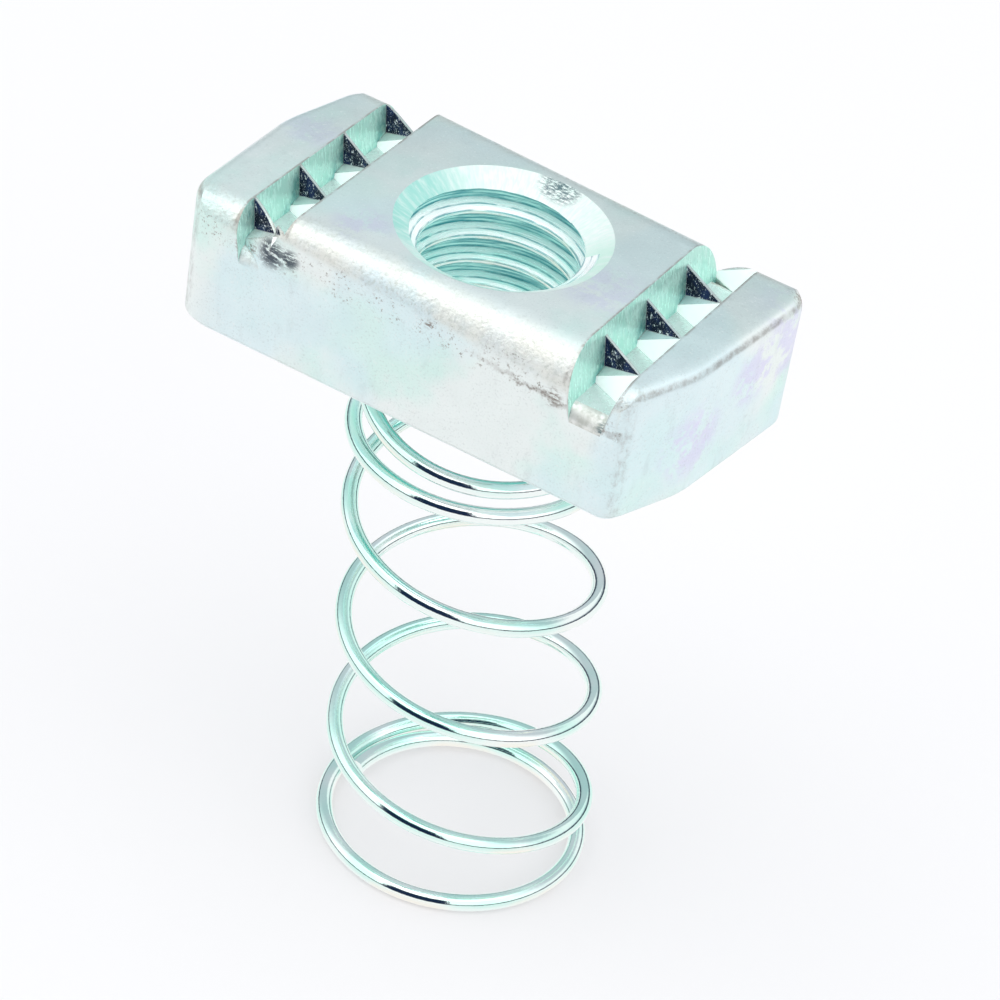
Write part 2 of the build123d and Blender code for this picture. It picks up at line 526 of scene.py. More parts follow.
@dataclass(frozen=True)
class EdgeWearAndShadow:
    """Bare metal along the edges of the forging that get rubbed, and a painted shadow line under the
    front roll.

    Attributes:
        patch: Pattern that breaks the lines of wear.
        sharp_reach: Width of the wear on sharp edges.
        rims: Distances from the middle at which the lands end at the grooves.
        rim_line: Half-width of the line there, and where it is full.
        roll_shadow_from: Stretch of X in which the painted shadow line under the front roll grows.
    """

    patch: Mottle = Mottle(0.9, 0.34, 0.56, seed=21.0, detail=5.0, rough=0.75)
    grain: Mottle = Mottle(3.0, 0.50, 0.66, seed=23.0, detail=4.0, rough=0.7)
    soft: Mottle = Mottle(1.6, 0.40, 0.72, seed=25.0, detail=5.0, rough=0.75, stretch=(1.0, 1.0, 0.5))
    sharp_reach: float = 0.26
    rims: Span = (10.45, 14.35)
    rim_line: Span = (0.20, 0.05)
    roll_shadow_level: float = 2.50
    roll_shadow_slope: float = 0.11
    roll_shadow_sway: float = 0.5
    roll_shadow_line: Span = (0.30, 0.06)
    roll_shadow_from: Span = (2.5, 8.5)
    strength: float = 0.8

    def rims_worn(self, bench: NodeBench, at: Axes, face: Axes, patch: Socket) -> Socket:
        """Draw the thin lines of wear where the lands end at the grooves.

        Args:
            bench: Bench of the finish.
            at: Object coordinates in millimetres.
            face: Surface's normal.
            patch: Noise of the patch pattern.

        Returns:
            The socket of the lines' share.
        """
        out = bench.math("ABSOLUTE", at["X"])
        inner, outer = (bench.distance(out, rim) for rim in self.rims)
        line = bench.band(bench.math("MINIMUM", inner, outer), *self.rim_line)
        broken = bench.band(patch, 0.40, 0.58, 0.15, 0.75)
        return bench.times(line, broken, bench.band(face["Z"], 0.25, 0.55))

    def fillets_worn(self, bench: NodeBench, face: Axes, patch: Socket) -> Socket:
        """Rub the fillets round the end lands.

        Args:
            bench: Bench of the finish.
            face: Surface's normal.
            patch: Noise of the patch pattern.

        Returns:
            The socket of the fillets' share.
        """
        slope = bench.times(bench.band(face["Z"], 0.30, 0.50), bench.band(face["Z"], 0.80, 0.60))
        across = bench.band(bench.math("ABSOLUTE", face["X"]), 0.35, 0.55)
        return bench.times(slope, across, bench.band(patch, 0.36, 0.64, 0.1, 0.75))

    def corners_worn(self, bench: NodeBench, face: Axes, soft: Socket) -> Socket:
        """Rub the upright corners.

        Args:
            bench: Bench of the finish.
            face: Surface's normal.
            soft: Patches of the soft pattern.

        Returns:
            The socket of the corners' share.
        """
        across, along = (bench.band(bench.math("ABSOLUTE", face[axis]), 0.40, 0.62) for axis in "XY")
        return bench.times(bench.times(across, along), soft, 0.55)

    def painted_roll_shadow(self, bench: NodeBench, at: Axes, face: Axes, soft: Socket, grain: Socket) -> Socket:
        """Draw a painted shadow line under the front roll, heaviest at its right end.

        Args:
            bench: Bench of the finish.
            at: Object coordinates in millimetres.
            face: Surface's normal.
            soft: Patches of the soft pattern, which make the shadow line sway.
            grain: Patches of the fine pattern, which break it.

        Returns:
            The socket of the painted shadow line's share.
        """
        # painted shadow: a brown line along the underside of the front roll
        sag = bench.math("ADD", bench.times(at["X"], self.roll_shadow_slope), self.roll_shadow_level)
        sag = bench.math("ADD", sag, bench.times(bench.math("SUBTRACT", soft, 0.5), self.roll_shadow_sway))
        off = bench.math("ABSOLUTE", bench.math("ADD", at["Z"], sag))
        line = bench.times(bench.band(off, *self.roll_shadow_line), bench.band(face["Y"], -0.75, -0.92))
        grown = bench.band(at["X"], *self.roll_shadow_from)
        return bench.times(line, grown, bench.band(grain, 0.0, 0.6, 0.45, 1.0))

    def share(self, bench: NodeBench, at: Axes, face: Axes) -> Socket:
        """Join all the wear and the painted shadow line under the front roll.

        Args:
            bench: Bench of the finish.
            at: Object coordinates in millimetres.
            face: Surface's normal.

        Returns:
            The socket of the share of wear and painted shadow.
        """
        patch = bench.noise(self.patch)
        grain, soft = bench.mottle(self.grain), bench.mottle(self.soft)
        sharp = bench.times(bench.sharp_edges(self.sharp_reach), bench.fade(patch, self.patch))
        back = bench.times(bench.band(face["Y"], 0.12, 0.5), bench.band(face["Z"], 0.2, 0.5))
        worn_and_shaded = bench.chain(
            "MAXIMUM",
            sharp,
            self.rims_worn(bench, at, face, patch),
            self.fillets_worn(bench, face, patch),
            self.corners_worn(bench, face, soft),
            bench.times(back, grain, 0.7),
            self.painted_roll_shadow(bench, at, face, soft, grain),
        )
        return bench.times(worn_and_shaded, self.strength)


@dataclass(frozen=True)
class ForgedSkin:
    """Plate over the forged outside of the nut.

    Attributes:
        scuffs: Places rubbed down to brown metal.
        burns: Places gone black.
        sheens: Places with a lilac sheen.
    """

    name: str = "zinc over forging"
    tint: ZincTint = ZincTint()
    wear_and_shadow: EdgeWearAndShadow = EdgeWearAndShadow()
    roughness: float = 0.42
    metallic: float = 0.5
    cloud: Mottle = Mottle(0.16, 0.42, 0.62, seed=1.0, rough=0.5)
    haze: Mottle = Mottle(0.11, 0.46, 0.60, seed=7.0, detail=2.0, rough=0.45, most=0.7)
    petals: Mottle = Mottle(0.5, 0.42, 0.56, seed=12.0, detail=5.0, rough=0.68)
    cream: Mottle = Mottle(0.3, 0.38, 0.60, seed=3.0)
    fine: Mottle = Mottle(6.0, 0.52, 0.68, seed=61.0, rough=0.75)
    blot: Mottle = Mottle(0.5, 0.34, 0.60, seed=63.0, least=0.25)
    fleck: Mottle = Mottle(5.0, 0.56, 0.68, seed=69.0, rough=0.7)
    grit: Mottle = Mottle(4.6, 0.50, 0.64, seed=37.0, rough=0.7)
    smear: Mottle = Mottle(0.8, 0.54, 0.72, seed=65.0, detail=4.0, rough=0.7, stretch=(1.0, 1.0, 0.3))
    grain: Mottle = Mottle(4.5, 0.55, 0.66, seed=5.0, detail=4.0, rough=0.72)
    drag: Mottle = Mottle(0.35, 0.42, 0.60, seed=9.0, detail=2.0)
    torn: Mottle = Mottle(3.4, 0.47, 0.59, seed=67.0, detail=4.0, rough=0.78, stretch=(0.55, 1.5, 1.5))
    burnt: Span = (0.40, 0.52)
    polish: Mottle = Mottle(0.7, 0.3, 0.75, seed=15.0, detail=4.0)
    swell: Mottle = Mottle(0.35, 0.0, 1.0, seed=31.0, detail=2.0, rough=0.5)
    swell_depth: float = 0.10
    pits: Mottle = Mottle(3.4, 0.0, 1.0, seed=33.0, detail=5.0, rough=0.7)
    pits_depth: float = 0.026
    hammer: Mottle = Mottle(3.6, 0.0, 1.0, seed=35.0)
    hammer_depth: float = 0.06
    scuffs: tuple[Spot, ...] = (
        ((9.9, -9.3, -3.3), 1.0),
        ((-13.3, -9.4, -3.1), 1.0),
        ((17.8, 8.2, -1.0), 1.3),
        ((0.6, -9.4, -2.3), 0.45),
    )
    burns: tuple[Spot, ...] = (((-11.3, -9.2, -2.6), 1.5), ((-9.9, -9.3, -2.4), 1.0))
    sheens: tuple[Spot, ...] = (
        ((18.0, 6.8, -3.0), 4.6),
        ((17.6, 2.6, -4.2), 3.0),
        ((17.0, -3.4, -6.5), 3.6),
        ((8.4, -1.5, 0.0), 3.6),
        ((-16.0, 2.0, -0.8), 2.6),
        ((-7.0, -6.0, 0.0), 2.6),
    )

    def tinted(self, bench: NodeBench, roll: Socket) -> Socket:
        """Lay the plate's own tints beside each other.

        Args:
            bench: Bench of the finish.
            roll: Share of the rolled edges.

        Returns:
            The colour's socket.
        """
        tint = self.tint
        colour = bench.mix(bench.mottle(self.cloud), tint.plain, tint.mint)
        colour = bench.mix(bench.mottle(self.haze), colour, tint.blue)
        petals = bench.mottle(self.petals)
        for centre, reach in self.sheens:
            colour = bench.mix(bench.times(bench.spot(centre, reach), petals, 0.8), colour, tint.lilac)
        return bench.mix(bench.times(roll, bench.mottle(self.cream), 0.75), colour, tint.cream)

    def grained(self, bench: NodeBench, colour: Socket, roll: Socket) -> Socket:
        """Add fine grains, pale flecks between them, grit on the rolls and smudges down the sides.

        Args:
            bench: Bench of the finish.
            colour: Colour so far.
            roll: Share of the rolled edges.

        Returns:
            The colour's socket.
        """
        tint = self.tint
        fine = bench.times(bench.mottle(self.fine), bench.mottle(self.blot), 0.26)
        colour = bench.mix(fine, colour, tint.grey)
        colour = bench.mix(bench.times(bench.mottle(self.fleck), 0.30), colour, tint.pale)
        colour = bench.mix(bench.times(bench.mottle(self.grit), roll, 0.34), colour, tint.sand)
        return bench.mix(bench.times(bench.mottle(self.smear), 0.13), colour, tint.grey)

    def marked(self, bench: NodeBench, colour: Socket, at: Axes) -> Socket:
        """Add the dark grains that the forging die has dragged, the scuffs and the burns.

        Args:
            bench: Bench of the finish.
            colour: Colour so far.
            at: Object coordinates in millimetres.

        Returns:
            The colour's socket.
        """
        tint = self.tint
        height = bench.times(bench.band(at["Z"], -4.3, -3.0), bench.band(at["Z"], -1.0, -2.0))
        shoulder = bench.times(bench.band(bench.math("ABSOLUTE", at["Y"]), 8.6, 9.4), height)
        drag = bench.mottle(self.drag)
        drag = bench.math("MULTIPLY", drag, bench.math("ADD", shoulder, 0.06), clamp=True)
        colour = bench.mix(bench.times(bench.mottle(self.grain), drag, 0.85), colour, tint.brown)
        torn = bench.noise(self.torn)
        scuffed, burnt = bench.fade(torn, self.torn), bench.band(torn, *self.burnt)
        for places, tone, broken in ((self.scuffs, tint.brown, scuffed), (self.burns, tint.ink, burnt)):
            for centre, reach in places:
                colour = bench.mix(bench.times(bench.spot(centre, reach), broken, 0.92), colour, tone)
        return colour

    def relief(self, bench: NodeBench, roll: Socket) -> Socket:
        """Raise the forging's swell and pits, and the hammered rolls.

        Args:
            bench: Bench of the finish.
            roll: Share of the rolled edges.

        Returns:
            The normal's socket.
        """
        skin = bench.bump(bench.noise(self.swell), self.swell_depth)
        skin = bench.bump(bench.noise(self.pits), self.pits_depth, skin)
        return bench.bump(bench.times(bench.noise(self.hammer), roll), self.hammer_depth, skin)

    def material(self) -> bpy.types.Material:
        """Build the finish.

        Returns:
            The material.
        """
        material, bench = new_material(self.name)
        at, face = bench.axes(), bench.facing()
        beside = bench.band(bench.math("ABSOLUTE", at["Y"]), 7.0, 8.4)
        roll = bench.times(beside, bench.band(face["Z"], 0.05, 0.4))
        colour = self.tinted(bench, roll)
        # painted shade: faces that lie level are painted darker grey, most of all towards the back
        backward = bench.band(at["Y"], -7.0, 7.0, 0.40, 0.66)
        level = bench.times(bench.band(face["Z"], 0.75, 0.97), backward)
        colour = bench.mix(level, colour, self.tint.painted_level_shade)
        colour = self.grained(bench, colour, roll)
        colour = self.marked(bench, colour, at)
        # edge wear, with a painted shadow line under the front roll, both in brown
        colour = bench.mix(self.wear_and_shadow.share(bench, at, face), colour, self.tint.brown)
        polish = (self.roughness - 0.08, self.roughness + 0.1)
        rough = bench.band(bench.noise(self.polish), self.polish.low, self.polish.high, *polish)
        bench.metal(colour, rough, self.relief(bench, roll), self.metallic)
        return material


@dataclass(frozen=True)
class CutZinc:
    """Plate over a surface that was pressed or cut clean, such as a groove's wall.

    Attributes:
        colour: Colour between the tool's lines.
        shade: Colour of the lines.
        crease: Colour of the painted shade in corners and of the scuffs.
        lines: Pattern of the lines.
        depth: Height of the lines.
        corner_shade_strength: Strength of the painted shade in corners.
        reach: How far the painted shade reaches from a corner.
        painted_glow: Painted light: brightness of its own, standing in for light that the surface
            catches.
        scuffs: Places that are scratched.
        painted_shade_spots: Places painted a darker tone as shade: centre, reach and tone.
    """

    name: str
    colour: Colour
    shade: Colour
    crease: Colour = (0.08, 0.16, 0.18)
    roughness: float = 0.25
    metallic: float = 0.2
    lines: Mottle = Mottle(2.5, 0.35, 0.68, seed=2.0)
    cloud: Mottle = Mottle(0.8, 0.35, 0.7, seed=4.0, detail=2.0, rough=0.5, most=0.5)
    spread: Mottle = Mottle(1.1, 0.30, 0.58, seed=19.0, detail=4.0, rough=0.65, least=0.35)
    patch: Mottle = Mottle(1.3, 0.38, 0.60, seed=17.0, detail=4.0, rough=0.7)
    torn: Mottle = Mottle(4.0, 0.44, 0.56, seed=67.0, detail=4.0, rough=0.75, stretch=(0.6, 2.0, 2.2))
    depth: float = 0.004
    corner_shade_strength: float = 0.8
    reach: float = 0.35
    painted_glow: float = 0.0
    scuffs: tuple[Spot, ...] = ()
    painted_shade_spots: tuple[tuple[Triple, float, Colour], ...] = ()

    def material(self) -> bpy.types.Material:
        """Build the finish.

        Returns:
            The material.
        """
        material, bench = new_material(self.name)
        where = bench.where(self.lines)
        lines = bench.noise(self.lines, where)
        colour = bench.mix(bench.fade(lines, self.lines), self.colour, self.shade)
        colour = bench.mix(bench.mottle(self.cloud), colour, self.shade)
        spread = bench.mottle(self.spread, where)
        for centre, reach, tone in self.painted_shade_spots:
            colour = bench.mix(bench.times(bench.spot(centre, reach), spread), colour, tone)
        # painted shade: corners darkened towards the crease colour, broken into patches
        painted_corner_shade = bench.times(bench.crease(self.reach), bench.mottle(self.patch), self.corner_shade_strength)
        colour = bench.mix(painted_corner_shade, colour, self.crease)
        torn = bench.mottle(self.torn)
        for centre, reach in self.scuffs:
            colour = bench.mix(bench.times(bench.spot(centre, reach), torn, 0.85), colour, self.crease)
        rough = bench.band(lines, 0.3, 0.7, self.roughness * 0.7, self.roughness * 1.3)
        bench.metal(colour, rough, bench.bump(lines, self.depth), self.metallic, self.painted_glow)
        return material


@dataclass(frozen=True)
class PaintedDarkToothFace:
    """A tooth's stamped upright face, painted dark navy as a painted dark reflection, with bright
    grains of zinc on it and a painted highlight along its edges.
    """

    name: str = "tooth face with painted dark reflection"
    dark: Colour = (0.004, 0.007, 0.026)
    blue: Colour = (0.010, 0.022, 0.085)
    bright: Colour = (0.90, 0.93, 0.95)
    cloud: Mottle = Mottle(0.9, 0.40, 0.62, seed=41.0, detail=2.0, rough=0.5)
    grain: Mottle = Mottle(4.5, 0.60, 0.64, seed=43.0, detail=2.0, rough=0.7)
    dust: Mottle = Mottle(9.0, 0.61, 0.66, seed=45.0, detail=2.0, most=0.6)
    rim: float = 0.09
    roughness: float = 0.45
    gloss: float = 0.12

    def material(self) -> bpy.types.Material:
        """Build the finish.

        Returns:
            The material.
        """
        material, bench = new_material(self.name)
        # painted dark reflection: near-black navy over the whole face
        colour = bench.mix(bench.mottle(self.cloud), self.dark, self.blue)
        # painted highlight: a bright line along the face's sharp edges
        rim = bench.times(bench.sharp_edges(self.rim), 0.8)
        bright = bench.chain("MAXIMUM", bench.mottle(self.grain), bench.mottle(self.dust), rim)
        colour = bench.mix(bright, colour, self.bright)
        bench.metal(colour, self.roughness, metallic=0.0, gloss=self.gloss)
        return material


@dataclass(frozen=True)
class ThreadZinc:
    """Plate over the cut thread, with painted light: bright on the upper flanks, painted teal shade on
    the lower flanks and in the roots of each turn.

    Attributes:
        dark_lines: Dark lines within a turn, each its place from 0 to 1 and its half-width.
        painted_highlight_lines: Painted highlight lines within a turn.
    """

    name: str = "zinc on the thread"
    bright: Colour = (0.97, 1.0, 0.995)
    mint: Colour = (0.58, 0.96, 0.89)
    teal: Colour = (0.17, 0.73, 0.66)
    deep: Colour = (0.025, 0.28, 0.33)
    cream: Colour = (0.93, 0.90, 0.78)
    root_radius: float = 6.33
    crest_radius: float = 5.42
    pitch: float = 1.954
    streak: Mottle = Mottle(
        3.2, 0.40, 0.60, seed=51.0, detail=4.0, rough=0.65, stretch=(1.9, 0.7, 2.3), wrapped=True
    )
    patch: Mottle = Mottle(1.1, 0.50, 0.62, seed=53.0, stretch=(1.0, 1.4, 1.0), wrapped=True)
    gap: Mottle = Mottle(2.6, 0.36, 0.54, seed=57.0, stretch=(1.0, 1.2, 1.0), wrapped=True, least=0.25)
    dark_lines: tuple[Span, ...] = (
        (0.275, 0.030),
        (0.405, 0.030),
        (0.535, 0.022),
        (0.690, 0.040),
        (0.815, 0.030),
        (0.930, 0.022),
    )
    painted_highlight_lines: tuple[Span, ...] = ((0.340, 0.035), (0.470, 0.035), (0.615, 0.045))

    def winding(self, bench: NodeBench, at: Axes, sway: Socket) -> Socket:
        """Find the place within a turn of the thread.

        Args:
            bench: Bench of the finish.
            at: Object coordinates in millimetres.
            sway: Noise that makes the place wander a little.

        Returns:
            The place's socket, from 0 to 1 upwards.
        """
        turn = bench.math("DIVIDE", bench.math("ARCTAN2", at["Y"], at["X"]), 2 * math.pi)
        height = bench.math("SUBTRACT", bench.math("DIVIDE", at["Z"], self.pitch), turn)
        wander = bench.times(bench.math("SUBTRACT", sway, 0.5), 0.05)
        return bench.math("FRACT", bench.math("ADD", height, wander))

    def shaded(self, bench: NodeBench, at: Axes, streak: Socket) -> Socket:
        """Paint light and shade on the flanks and the root, and tint the crest.

        Args:
            bench: Bench of the finish.
            at: Object coordinates in millimetres.
            streak: Noise of the streaks that the tap has left.

        Returns:
            The colour's socket.
        """
        radius, patch = bench.radius(at), bench.noise(self.patch)
        # painted light: flanks facing up painted bright, flanks facing down painted teal as shade
        tilt = bench.times(bench.math("SUBTRACT", streak, 0.5), 0.7)
        upward = bench.math("ADD", bench.facing()["Z"], tilt)
        colour = bench.mix(bench.band(upward, -0.45, -0.05), self.teal, self.mint)
        colour = bench.mix(bench.band(upward, 0.0, 0.35), colour, self.bright)
        colour = bench.mix(bench.times(bench.fade(patch, self.patch), 0.55), colour, self.mint)
        # painted shade in the thread's roots
        root = bench.band(radius, self.root_radius - 0.22, self.root_radius - 0.02)
        colour = bench.mix(bench.times(root, bench.fade(streak, self.streak), 0.75), colour, self.deep)
        crest = bench.band(radius, self.crest_radius + 0.10, self.crest_radius + 0.02)
        colour = bench.mix(bench.times(crest, bench.band(patch, 0.42, 0.58), 0.8), colour, self.cream)
        line = bench.times(bench.sharp_edges(0.07), bench.band(streak, 0.36, 0.60), 0.85)
        return bench.mix(line, colour, self.deep)

    def material(self) -> bpy.types.Material:
        """Build the finish.

        Returns:
            The material.
        """
        material, bench = new_material(self.name)
        at, streak = bench.axes(), bench.noise(self.streak)
        colour = self.shaded(bench, at, streak)
        place, gap = self.winding(bench, at, streak), bench.mottle(self.gap)
        # painted highlight lines and dark lines at set places within each turn
        sets = ((self.painted_highlight_lines, self.bright, 0.8), (self.dark_lines, self.deep, 0.75))
        for lines, tone, share in sets:
            for middle, half in lines:
                line = bench.band(bench.distance(place, middle), half, half * 0.4)
                colour = bench.mix(bench.times(line, gap, share), colour, tone)
        rough = bench.band(streak, 0.3, 0.7, 0.16, 0.34)
        bench.metal(colour, rough, bench.bump(streak, 0.016), metallic=0.3, painted_glow=0.12)
        return material


@dataclass(frozen=True)
class WireZinc:
    """Plate over drawn spring wire, almost a mirror, with more mint painted on its upper side as a
    painted reflection.
    """

    name: str = "zinc over drawn wire"
    plain: Colour = (0.90, 0.955, 0.945)
    mint: Colour = (0.58, 0.91, 0.83)
    cream: Colour = (0.93, 0.90, 0.82)
    roughness: float = 0.08
    cloud: Mottle = Mottle(0.14, 0.36, 0.60, seed=6.0, detail=2.0, rough=0.5)
    cream_patch: Mottle = Mottle(0.2, 0.46, 0.62, seed=14.0, detail=2.0, rough=0.5)
    fine: Mottle = Mottle(3.6, 0.35, 0.7, seed=8.0, detail=4.0, rough=0.65)
    depth: float = 0.007

    def material(self) -> bpy.types.Material:
        """Build the finish.

        Returns:
            The material.
        """
        material, bench = new_material(self.name)
        # painted reflection: the mint share rises where the wire faces up, and the cream patches keep
        # to its lower side
        upper = bench.band(bench.facing()["Z"], -0.35, 0.65)
        share = bench.math("ADD", bench.times(upper, 0.75), 0.2)
        colour = bench.mix(bench.times(share, bench.mottle(self.cloud)), self.plain, self.mint)
        lower = bench.math("SUBTRACT", 0.95, upper)
        colour = bench.mix(bench.times(bench.mottle(self.cream_patch), lower), colour, self.cream)
        fine = bench.noise(self.fine)
        limits = (self.roughness * 0.7, self.roughness * 1.5)
        rough = bench.band(fine, self.fine.low, self.fine.high, *limits)
        bench.metal(colour, rough, bench.bump(fine, self.depth))
        return material


def sink_finish() -> CutZinc:
    """Choose the finish of the countersink, which the nut and the first turns of the thread share.

    Returns:
        The finish.
    """
    return CutZinc(
        "zinc on the countersink",
        colour=(0.93, 0.975, 0.96),
        shade=(0.78, 0.94, 0.89),
        roughness=0.45,
        metallic=0.12,
        lines=Mottle(2.5, 0.35, 0.68, seed=2.0, stretch=(0.6, 14.0, 0.1), wrapped=True),
        depth=0.0008,
        scuffs=(((-0.3, 6.9, -0.25), 1.5), ((0.7, 6.85, -0.3), 1.5)),
        # painted shade: the left, front and right sides of the countersink painted darker teal and mint
        painted_shade_spots=(
            ((-6.8, -1.6, -0.5), 7.5, (0.38, 0.76, 0.69)),
            ((1.0, -6.6, -0.5), 5.0, (0.55, 0.87, 0.79)),
            ((6.6, 1.0, -0.5), 4.0, (0.66, 0.90, 0.80)),
        ),
    )


# ---------------------------------------------------------------------------------------
# Modelling helpers


def deselect() -> None:
    """Leave nothing selected and no mode open."""
    if bpy.context.object and bpy.context.object.mode != "OBJECT":
        bpy.ops.object.mode_set(mode="OBJECT")
    bpy.ops.object.select_all(action="DESELECT")


def take(obj: bpy.types.Object) -> None:
    """Select one object alone and make it active.

    Args:
        obj: The object.
    """
    deselect()
    obj.select_set(True)
    bpy.context.view_layer.objects.active = obj


@contextmanager
def editing(obj: bpy.types.Object) -> Iterator[None]:
    """Open an object's mesh for editing with all of it selected, and close it afterwards.

    Args:
        obj: The object.

    Yields:
        Nothing.
    """
    take(obj)
    bpy.ops.object.mode_set(mode="EDIT")
    bpy.ops.mesh.select_all(action="SELECT")
    yield
    bpy.ops.object.mode_set(mode="OBJECT")


def apply(obj: bpy.types.Object, kind: str, **settings: Any) -> None:
    """Add a modifier and apply it.

    Args:
        obj: Object that is shaped.
        kind: Type of the modifier.
        settings: Properties of the modifier.
    """
    take(obj)
    modifier = obj.modifiers.new(kind.title(), kind)
    for name, value in settings.items():
        setattr(modifier, name, value)
    bpy.ops.object.modifier_apply(modifier=modifier.name)


def cut_away(obj: bpy.types.Object, height: float, above: bool) -> None:
    """Cut a mesh at a level and drop what lies above or below it.

    Args:
        obj: Object to cut.
        height: Level in metres.
        above: Whether the part above the level goes.
    """
    with editing(obj):
        bpy.ops.mesh.bisect(
            plane_co=(0.0, 0.0, height),
            plane_no=(0.0, 0.0, 1.0),
            clear_outer=above,
            clear_inner=not above,
        )


def shade(obj: bpy.types.Object, degrees: float) -> None:
    """Shade an object smooth, apart from its sharper edges.

    Args:
        obj: The object.
        degrees: Angle from which an edge stays sharp.
    """
    take(obj)
    bpy.ops.object.shade_smooth_by_angle(angle=math.radians(degrees))


def dress(obj: bpy.types.Object, *materials: bpy.types.Material) -> None:
    """Give an object its materials in place of those it has.

    Args:
        obj: The object.
        materials: Materials in the order of their slots.
    """
    obj.data.materials.clear()
    for material in materials:
        obj.data.materials.append(material)


# ---------------------------------------------------------------------------------------
# Pieces


@dataclass
class ForgedNut:
    """The forged nut: the CAD solid with softened edges and a finish for each kind of surface.

    Attributes:
        half_land: Half the length of the central land, where the grooves begin.
        groove_width: Width of a groove.
        groove_depth: Depth of its floor under the clamping face.
        groove_slack: How far past its two sides a face still belongs to a groove.
        lip_drop: How far under the floor a groove's lips reach.
        crest_level: Level of the teeth's crests.
        near_side: Place across the nut past which the left groove breaks out.
        break_out: Level under which it does.
        sink_radius: Radius of the countersink's rim.
        sink_level: Level that the countersink stays above.
        edge_round: Width of the softened edges.
        flat_within: Angle up to which two faces are one, in degrees.
        round_from: Angle from which an edge is softened, in degrees.
        sharp_from: Angle from which an edge is shaded sharp, in degrees.
    """

    half_land: float = 10.45
    groove_width: float = 3.9
    groove_depth: float = 3.4
    groove_slack: Span = (0.05, 0.15)
    lip_drop: float = 1.2
    crest_level: float = -0.75
    near_side: float = -8.5
    break_out: float = -1.9
    sink_radius: float = 7.2
    sink_level: float = -1.0
    edge_round: float = 0.09
    flat_within: float = 0.4
    round_from: float = 28.0
    sharp_from: float = 32.0

    def build(self, nodes: dict[str, bpy.types.Object]) -> bpy.types.Object:
        """Copy the solid, soften its edges and dress it.

        Args:
            nodes: CAD nodes by name.

        Returns:
            The finished piece.
        """
        nut = bpy.data.objects.new("forged_nut", nodes["nut_body"].data.copy())
        bpy.context.scene.collection.objects.link(nut)
        with editing(nut):
            bpy.ops.mesh.remove_doubles(threshold=2e-6)
            bpy.ops.mesh.dissolve_limited(angle_limit=math.radians(self.flat_within))
        apply(
            nut,
            "BEVEL",
            width=self.edge_round * MM,
            segments=3,
            limit_method="ANGLE",
            angle_limit=math.radians(self.round_from),
            use_clamp_overlap=True,
            loop_slide=False,
            harden_normals=False,
        )
        shade(nut, self.sharp_from)
        finishes = self.finishes()
        dress(nut, *(finishes[region].material() for region in Region))
        for face in nut.data.polygons:
            face.material_index = self.region(face.center / MM, face.normal).value
        return nut

    def groove_region(self, centre: Vector, normal: Vector) -> Optional[Region]:
        """Tell which finish a face in a groove takes.

        Args:
            centre: Middle of the face, in millimetres.
            normal: Its normal.

        Returns:
            The face's region, or None where it isn't in a groove.
        """
        along, level = abs(centre.x) - self.half_land, centre.z
        before, after = self.groove_slack
        deepest = -self.groove_depth - self.lip_drop
        if not (-before < along < self.groove_width + after and deepest < level < -0.03):
            return None
        across_x, across_y = abs(normal.x), abs(normal.y)
        if across_y >= 0.999:
            return None
        if across_x > 0.9 and across_y < 0.1:
            return Region.WALL
        if across_y > 0.3 and across_x > 0.1 and self.crest_level > level > -self.groove_depth:
            if centre.x < 0 and centre.y < self.near_side and level < self.break_out:
                return Region.SKIN
            slope = abs(normal.z)
            if slope < 0.05:
                return Region.UPRIGHT
            return Region.RAMP if slope < 0.45 else Region.LEDGE
        if level < -self.groove_depth + 0.05 and across_x < 0.3:
            if normal.z > 0.99:
                return Region.FLOOR
            return Region.LIP if centre.x > 0 else Region.SKIN
        return None

    def region(self, centre: Vector, normal: Vector) -> Region:
        """Tell which finish a face takes.

        Args:
            centre: Middle of the face, in millimetres.
            normal: Its normal.

        Returns:
            The face's region.
        """
        in_groove = self.groove_region(centre, normal)
        if in_groove is not None:
            return in_groove
        near_hole = math.hypot(centre.x, centre.y) < self.sink_radius + 0.02
        if near_hole and centre.z > self.sink_level and normal.z < 0.95:
            return Region.SINK
        return Region.SKIN

    @staticmethod
    def finishes() -> dict[Region, Any]:
        """Choose the finishes.

        Returns:
            Each region's finish.
        """
        return {
            Region.SKIN: ForgedSkin(),
            Region.WALL: CutZinc(
                "zinc on the groove walls",
                colour=(0.46, 0.83, 0.72),
                shade=(0.62, 0.93, 0.84),
                # painted shade: teal darkening spread far from the corners over the walls
                crease=(0.10, 0.42, 0.40),
                lines=Mottle(2.5, 0.35, 0.68, seed=2.0, stretch=(0.5, 1.6, 0.45)),
                reach=1.3,
            ),
            Region.FLOOR: CutZinc(
                "zinc on the groove floors", colour=(0.74, 0.88, 0.85), shade=(0.62, 0.78, 0.74)
            ),
            Region.UPRIGHT: PaintedDarkToothFace(),
            Region.LEDGE: CutZinc(
                "zinc under the teeth with painted glow",
                colour=(0.68, 0.94, 0.87),
                shade=(0.84, 0.97, 0.93),
                metallic=0.1,
                # painted light: a small glow brightens the ledges
                painted_glow=0.1,
            ),
            # painted highlight: the ramps are painted near white and glow, standing in for the light
            # that they catch
            Region.RAMP: CutZinc(
                "zinc on the ramps with painted highlight",
                colour=(0.97, 0.985, 0.985),
                shade=(0.93, 0.97, 0.965),
                metallic=0.0,
                corner_shade_strength=0.15,
                painted_glow=0.28,
            ),
            Region.LIP: CutZinc(
                "zinc on the groove lips",
                colour=(0.93, 0.95, 0.92),
                shade=(0.60, 0.62, 0.57),
                roughness=0.4,
                metallic=0.4,
                scuffs=(((10.6, -9.5, -4.0), 0.9), ((13.8, -9.5, -4.0), 0.8)),
            ),
            Region.SINK: sink_finish(),
        }


